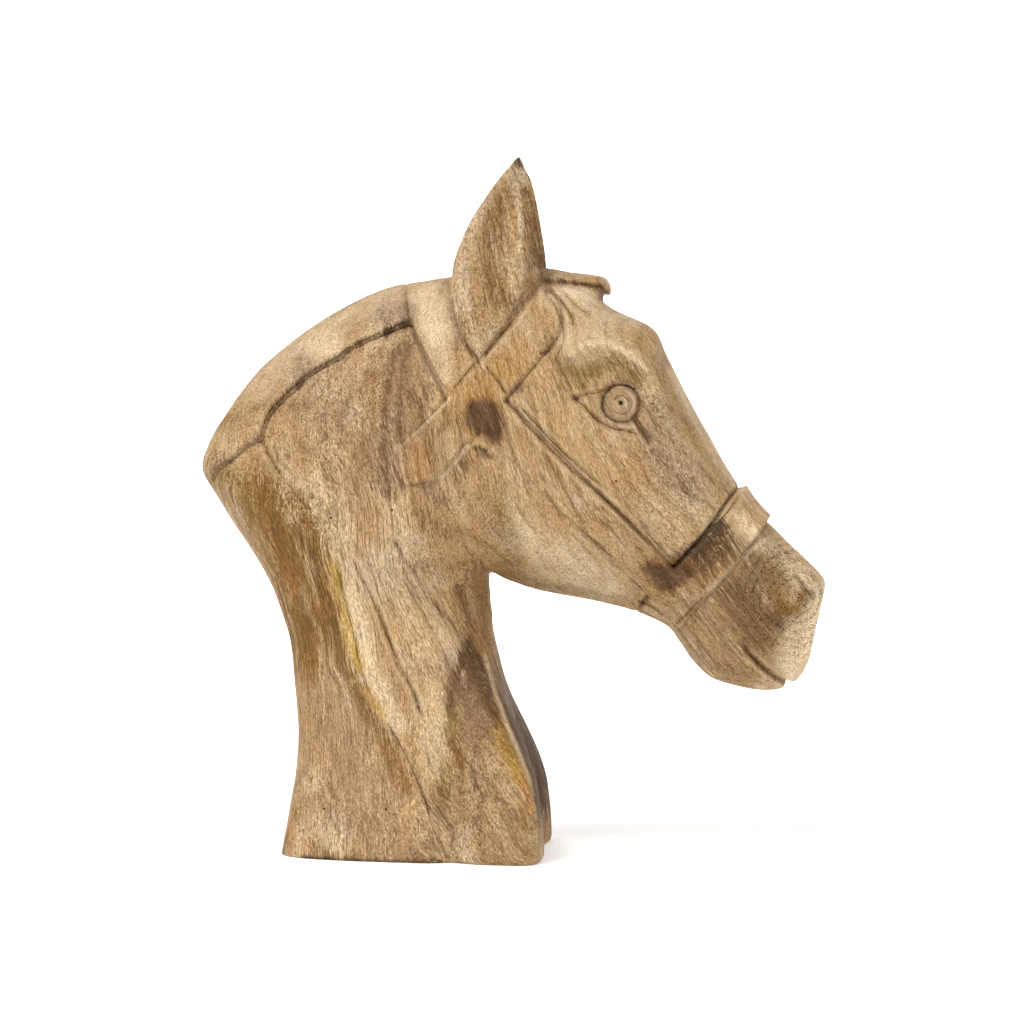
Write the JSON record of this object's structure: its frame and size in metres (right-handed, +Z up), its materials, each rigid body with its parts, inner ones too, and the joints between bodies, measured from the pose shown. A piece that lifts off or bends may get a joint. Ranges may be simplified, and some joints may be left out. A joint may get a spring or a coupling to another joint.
{
  "type": "horse head figurine",
  "caption": "Carved wooden horse head with bridle straps, pricked ears and a short mane, standing on the flat cut of its flared neck.",
  "frame": {"origin": "on the table, under the middle of the figure's box, on the flat cut of the neck", "axes": "+Z up, +X the way the head looks, -Y the horse's right side, which faces the viewer in the picture"},
  "size_m": [0.2308, 0.1016, 0.254],
  "materials": {
    "wood": "satin, oiled, with darker cuts and streaks"
  },
  "bodies": {
    "root": {"horse_head": "wood"}
  },
  "joints": []
}
